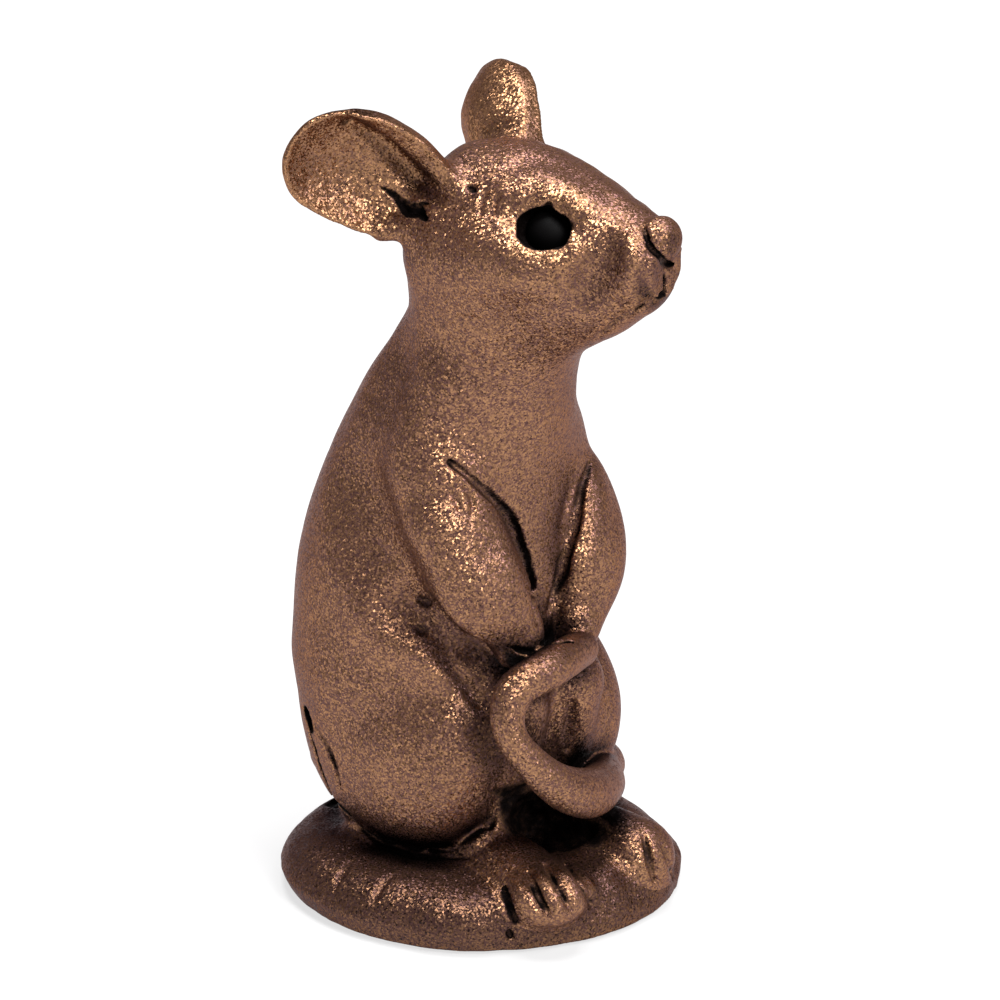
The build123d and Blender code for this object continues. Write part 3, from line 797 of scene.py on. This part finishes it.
# Tool marks and skin
# The marks of the fingers and of the modelling tool, pressed into the finished clay one after the other. The
# whole surface is a little lumpy from the hand, and rougher on the head and the base.
SKIN_LUMPS = ((9.0, 0.16), (3.5, 0.05))
ROUGH_SIZE = 1.2
ROUGH_HEIGHT = 0.05
ROUGH_EVERYWHERE = 0.2
ROUGH_ON_HEAD = 0.8
ROUGH_HEAD_HEIGHTS = (84.0, 92.0)
ROUGH_ON_BASE = 0.6
ROUGH_BASE_HEIGHTS = (9.0, 13.0)
RAGGED_SIZE = 1.3
RAGGED_SHIFT = 0.4
CHIP_SIZE = 0.7
CHIP_DEPTH = 0.1
SIGHT_DEPTH = 60.0
SIGHT_STEP = 0.7
MARK_STEPS = 4
MARK_SINK = 0.3
MARK_ENDS = (0.12, 0.88)
MARK_TAPER = 0.8
MARK_MARGIN = 2.0
MARK_WAX_START = -0.1
MARK_WAX_END = 0.6


def sample(field, points):
    """Values of the grid at points in millimetres, between its nodes."""
    place = np.clip((points - CLAY_LOW) / VOXEL, 0.0, np.array(clay_shape) - 1.001)
    i = place.astype(np.int32)
    t = place - i
    value = 0.0
    for corner in range(8):
        dx, dy, dz = corner & 1, corner >> 1 & 1, corner >> 2
        share = np.abs(1 - dx - t[..., 0]) * np.abs(1 - dy - t[..., 1]) * np.abs(1 - dz - t[..., 2])
        value = value + share * field[i[..., 0] + dx, i[..., 1] + dy, i[..., 2] + dz]
    return value


def outward(field, points):
    """Directions straight out of the surface, and the field's steepness there."""
    slope = np.stack([
        sample(field, points + VOXEL * axis) - sample(field, points - VOXEL * axis) for axis in np.eye(3)
    ], axis=-1) / (2.0 * VOXEL)
    steep = np.linalg.norm(slope, axis=-1, keepdims=True) + 1e-6
    return slope / steep, steep[..., 0]


def on_surface(field, pixels):
    """Points of the surface that are seen at the pixels, or lie closest to them beside the outline."""
    found = []
    depths = np.arange(-SIGHT_DEPTH, SIGHT_DEPTH, VOXEL * SIGHT_STEP)
    for pixel in pixels:
        ray = lens_point - in_picture_plane(pixel)
        ray /= np.linalg.norm(ray)
        line = in_picture_plane(pixel) - depths[:, None] * ray
        away = sample(field, line)
        found.append(line[np.argmax(away < 0.0)] if away.min() < 0.0 else line[np.argmin(away)])
    return np.array(found)


def lumps(size, seed):
    """Smooth random swelling over the whole clay, mostly between -1 and 1, with lumps of a given size."""
    counts = [int(np.ptp(axis) / size) + 4 for axis in axes]
    field = np.random.default_rng(seed).normal(scale=2.5, size=counts)
    for axis in axes:
        gaps = np.abs(((axis - axis[0]) / size + 1.0)[:, None] - np.arange(field.shape[0]))
        tails = np.maximum(2.0 - gaps, 0.0) ** 3 / 6
        weights = np.where(gaps < 1.0, 2 / 3 - gaps ** 2 + gaps ** 3 / 2, tails)
        field = np.tensordot(field, weights, axes=(0, 1))
    return field.astype(np.float32)


chipped = lumps(CHIP_SIZE, 4) * CHIP_DEPTH
ragged = [lumps(RAGGED_SIZE, seed) * RAGGED_SHIFT for seed in (1, 2, 3)]
skin = clay.copy()
for seed, (size, swelling) in enumerate(SKIN_LUMPS, 11):
    skin += lumps(size, seed) * swelling
heights = axes[2]
rough_heights = ROUGH_HEIGHT * (
    ROUGH_EVERYWHERE + ROUGH_ON_HEAD * step(heights, *ROUGH_HEAD_HEIGHTS)
    + ROUGH_ON_BASE * (1.0 - step(heights, *ROUGH_BASE_HEIGHTS))
)
skin += lumps(ROUGH_SIZE, 21) * rough_heights.astype(np.float32)
black_wax = np.zeros(clay_shape, np.float32)
for pixels, radius, height, blend, wax_share in tool_marks:
    points = on_surface(skin, curve_through(pixels, MARK_STEPS))
    normals = outward(skin, points)[0]
    lift = max(radius + height, -MARK_SINK * radius) if height < 0 else height - radius
    line = points + normals * lift
    fullness = np.sin(np.linspace(*MARK_ENDS, len(line)) * math.pi)
    radii = radius - min(abs(height), MARK_TAPER * radius) * (1.0 - fullness)
    margin = radius + MARK_MARGIN
    cuts, places = block(line.min(axis=0) - margin, line.max(axis=0) + margin)
    raggedness = wax_share * min(radius, 1.0)
    x, y, z = (place + raggedness * shift[cuts] for place, shift in zip(places, ragged))
    tool = roll(x, y, z, line, radii)
    skin[cuts] = -soft_min(-skin[cuts], tool, blend) if height < 0 else soft_min(skin[cuts], tool, blend)
    waxed = wax_share * (1.0 - step(tool, MARK_WAX_START, MARK_WAX_END * radius))
    black_wax[cuts] = np.maximum(black_wax[cuts], waxed)
skin = np.maximum(skin, PAD_STAND - heights)


# Eyes
# Black glass beads, pushed deep into ragged holes that were poked into the clay of the head. The wax runs
# over the holes' rims.
EYE_BLACK = "#050404"
EYE_PIXEL = (543, 227)
EYE_RADIUS = 3.3
EYE_DEPTH = 4.6
EYE_SEGMENTS = (48, 24)
HOLE_HALF_SIZES = (3.75, 4.4, 2.9)
HOLE_DEPTH = 1.6
HOLE_RAGGED = 0.5
HOLE_REACH = 8.0
HOLE_WAX_RIM = 0.5

# Black glass, dulled by wax and dust: it shows as a black ball with hardly a glint.
glass = bpy.data.materials.new("black_glass")
glass.use_nodes = True
shader = glass.node_tree.nodes["Principled BSDF"]
shader.inputs["Base Color"].default_value = linear(EYE_BLACK)
shader.inputs["Roughness"].default_value = 0.6
shader.inputs["Specular IOR Level"].default_value = 0.08
shader.inputs["IOR"].default_value = 1.5

eye_surface = on_surface(clay, [EYE_PIXEL])
eye_inward = -outward(clay, eye_surface)[0]
hole_place = head_place(*(eye_surface + eye_inward * HOLE_DEPTH)[0])
bead_place = head_place(*(eye_surface + eye_inward * EYE_DEPTH)[0])
for side, name in ((1, "right_eye"), (-1, "left_eye")):
    hole = head_point(hole_place[0], side * hole_place[1], hole_place[2])
    cuts, places = block(hole - HOLE_REACH, hole + HOLE_REACH)
    shifted = (place + HOLE_RAGGED * shift[cuts] for place, shift in zip(places, ragged))
    forward, right, up = head_place(*shifted)
    poked = ball(forward - hole_place[0], right - side * hole_place[1], up - hole_place[2], *HOLE_HALF_SIZES)
    poked = poked + chipped[cuts]
    skin[cuts] = np.maximum(skin[cuts], -poked)
    black_wax[cuts] = np.maximum(black_wax[cuts], 1.0 - step(poked, 0.0, HOLE_WAX_RIM))
    bead_mesh = bpy.data.meshes.new("bead_" + name)
    build = bmesh.new()
    bmesh.ops.create_uvsphere(
        build, u_segments=EYE_SEGMENTS[0], v_segments=EYE_SEGMENTS[1], radius=EYE_RADIUS / MM_PER_METRE,
    )
    build.to_mesh(bead_mesh)
    build.free()
    bead_mesh.polygons.foreach_set("use_smooth", np.ones(len(bead_mesh.polygons), bool))
    bead_middle = head_point(bead_place[0], side * bead_place[1], bead_place[2])
    bead_mesh.transform(Matrix.Translation(bead_middle / MM_PER_METRE))
    bead_mesh.materials.append(glass)
    bead = bpy.data.objects.new("bead_" + name, bead_mesh)
    bpy.context.collection.objects.link(bead)
    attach(bead, "root")
    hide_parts(name)


# Castings
# The figure is cut apart into its castings along the seams. Each piece keeps the skin of the whole figure
# where it is the nearest, and dips under its neighbour at the seam.
LAP = 0.8
DIP = 0.3
CREVICE_REACHES = (0.7, 1.5)
HOLLOW_SHADE_REACHES = (3.0, 6.0)
RIDGE_REACHES = (1.0, 2.5)


def biggest_island(count, faces):
    """Which points belong to the biggest connected part of a mesh."""
    island = np.arange(count)
    while True:
        joined = island.copy()
        np.minimum.at(joined, faces, island[faces].min(axis=1)[:, None])
        joined = joined[joined]
        if np.array_equal(joined, island):
            return island == np.argmax(np.bincount(island))
        island = joined


def cut_out(index, cuts, own):
    """Points and faces of one piece, cut out of the clay without loose crumbs."""
    other = np.where(owner[cuts] == index, second[cuts], nearest[cuts])
    past = (own - other) * 0.5
    field = np.maximum(skin[cuts] + DIP * np.maximum(past, 0.0) ** 2, past - LAP)
    grid = openvdb.FloatGrid(FAR)
    grid.copyFromArray(np.ascontiguousarray(field, dtype=np.float32), tolerance=0.0)
    grid.transform = openvdb.createLinearTransform(voxelSize=VOXEL)
    points, quads = grid.convertToQuads(0.0)
    kept = biggest_island(len(points), quads)
    start = np.array([axes[i][cuts[i].start] for i in range(3)])
    return points[kept] + start, (np.cumsum(kept) - 1)[quads[kept[quads[:, 0]]]]


def fill_mesh(mesh, points, quads):
    """Puts points and faces into an empty mesh."""
    mesh.vertices.add(len(points))
    mesh.vertices.foreach_set("co", (points / MM_PER_METRE).astype(np.float32).ravel())
    mesh.loops.add(4 * len(quads))
    mesh.loops.foreach_set("vertex_index", quads.astype(np.int32).ravel())
    mesh.polygons.add(len(quads))
    mesh.polygons.foreach_set("loop_start", np.arange(0, 4 * len(quads), 4, dtype=np.int32))
    mesh.polygons.foreach_set("loop_total", np.full(len(quads), 4, dtype=np.int32))
    mesh.polygons.foreach_set("use_smooth", np.ones(len(quads), bool))
    mesh.update()
    mesh.validate()


for index, (name, (casting, cuts, own)) in enumerate(castings.items()):
    points, quads = cut_out(index, cuts, own)
    fill_mesh(casting.data, points, quads)
    normals, steepness = outward(skin, points)
    # the crevices take the black wax, the wider hollows a painted shade, and the ridges their wear
    for label, way, reaches in (
        ("crevice", 1.0, CREVICE_REACHES), ("hollow_painted_shade", 1.0, HOLLOW_SHADE_REACHES), ("ridge", -1.0, RIDGE_REACHES),
    ):
        shares = [
            1.0 - way * sample(skin, points + way * normals * reach) / (reach * steepness)
            for reach in reaches
        ]
        values = np.mean(np.clip(shares, 0.0, 1.0), axis=0)
        if label == "crevice":
            values = np.maximum(values, sample(black_wax, points))
        # the base is darkened further with painted shade
        if label == "hollow_painted_shade" and name == "base":
            values = np.maximum(values, BASE_PAINTED_SHADE)
        attribute = casting.data.attributes.new(label, "FLOAT", "POINT")
        attribute.data.foreach_set("value", values.astype(np.float32))


# Pad
# A disc of dark baize glued into a recess in the underside of the base, which keeps the casting off the
# shelf. It is the solid itself, in a cloth of its own.
BAIZE_GREEN = "#2c3a2c"
BAIZE_FUZZ = 0.4
BAIZE_FUZZ_HEIGHT = 0.2

# Wool baize, dyed and felted: dark, without shine, and pale at its edges from the fuzz.
baize = bpy.data.materials.new("baize")
baize.use_nodes = True
tree = baize.node_tree
shader = tree.nodes["Principled BSDF"]
shader.inputs["Base Color"].default_value = linear(BAIZE_GREEN)
shader.inputs["Roughness"].default_value = 0.95
shader.inputs["Sheen Weight"].default_value = 0.4
place_on_pad = add_node(tree, "ShaderNodeTexCoord", {}).outputs["Object"]
fuzz = add_node(tree, "ShaderNodeTexNoise", {
    "Vector": place_on_pad, "Scale": MM_PER_METRE / BAIZE_FUZZ,
}).outputs["Fac"]
fuzz = add_node(tree, "ShaderNodeBump", {
    "Height": fuzz, "Distance": BAIZE_FUZZ_HEIGHT / MM_PER_METRE,
}).outputs["Normal"]
tree.links.new(fuzz, shader.inputs["Normal"])
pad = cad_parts["base_pad"]
pad.data.materials.clear()
pad.data.materials.append(baize)


# Studio
# The figure stands on a sheet of white paper under two wide soft lamps, one above and one in front, with pale
# walls all round. Sizes and places here are in metres.
FLOOR_HALF = 3.0
PAPER_WHITE = "#e9e9e9"
PAPER_GLOW = 0.7
# name, place, size and watts
LAMPS = (
    ("top_lamp", (0.06, 0.06, 1.1), 0.55, 15.5),
    ("front_lamp", (-0.02, -0.74, 0.84), 0.5, 10.5),
)
LAMP_AIM = (0.0, 0.0, 0.055)
WALL_LIGHT = (0.19, 0.177, 0.2, 1.0)

floor_mesh = bpy.data.meshes.new("paper")
floor_mesh.from_pydata(
    [(-FLOOR_HALF, -FLOOR_HALF, 0), (FLOOR_HALF, -FLOOR_HALF, 0), (FLOOR_HALF, FLOOR_HALF, 0),
     (-FLOOR_HALF, FLOOR_HALF, 0)], [], [(0, 1, 2, 3)],
)

# White paper: matt, with a soft shadow, and lifted to white where the lens or a reflection sees it.
paper = bpy.data.materials.new("white_paper")
paper.use_nodes = True
tree = paper.node_tree
shader = tree.nodes["Principled BSDF"]
shader.inputs["Base Color"].default_value = linear(PAPER_WHITE)
shader.inputs["Roughness"].default_value = 0.9
shader.inputs["Specular IOR Level"].default_value = 0.2
rays = add_node(tree, "ShaderNodeLightPath", {}).outputs
seen = add_node(tree, "ShaderNodeMath", {
    0: rays["Is Camera Ray"], 1: rays["Is Glossy Ray"],
}, operation="ADD").outputs[0]
seen = add_node(tree, "ShaderNodeMath", {
    0: seen, 1: rays["Is Transmission Ray"],
}, operation="ADD", use_clamp=True).outputs[0]
seen = add_node(tree, "ShaderNodeMath", {0: seen, 1: PAPER_GLOW}, operation="MULTIPLY").outputs[0]
glow = add_node(tree, "ShaderNodeEmission", {"Strength": 1.0}).outputs["Emission"]
lit = add_node(tree, "ShaderNodeMixShader", {0: seen, 1: shader.outputs["BSDF"], 2: glow}).outputs[0]
tree.links.new(lit, tree.nodes["Material Output"].inputs["Surface"])
floor_mesh.materials.append(paper)
floor = bpy.data.objects.new("paper", floor_mesh)
bpy.context.collection.objects.link(floor)

for name, spot, size, power in LAMPS:
    lamp_data = bpy.data.lights.new(name, "AREA")
    lamp_data.energy = power
    lamp_data.size = size
    lamp = bpy.data.objects.new(name, lamp_data)
    bpy.context.collection.objects.link(lamp)
    lamp.location = spot
    lamp.rotation_mode = "QUATERNION"
    lamp.rotation_quaternion = (Vector(LAMP_AIM) - Vector(spot)).to_track_quat("-Z", "Y")
world = bpy.data.worlds.new("pale_walls")
bpy.context.scene.world = world
world.use_nodes = True
world.node_tree.nodes["Background"].inputs["Color"].default_value = WALL_LIGHT
bpy.context.scene.view_settings.view_transform = "Standard"
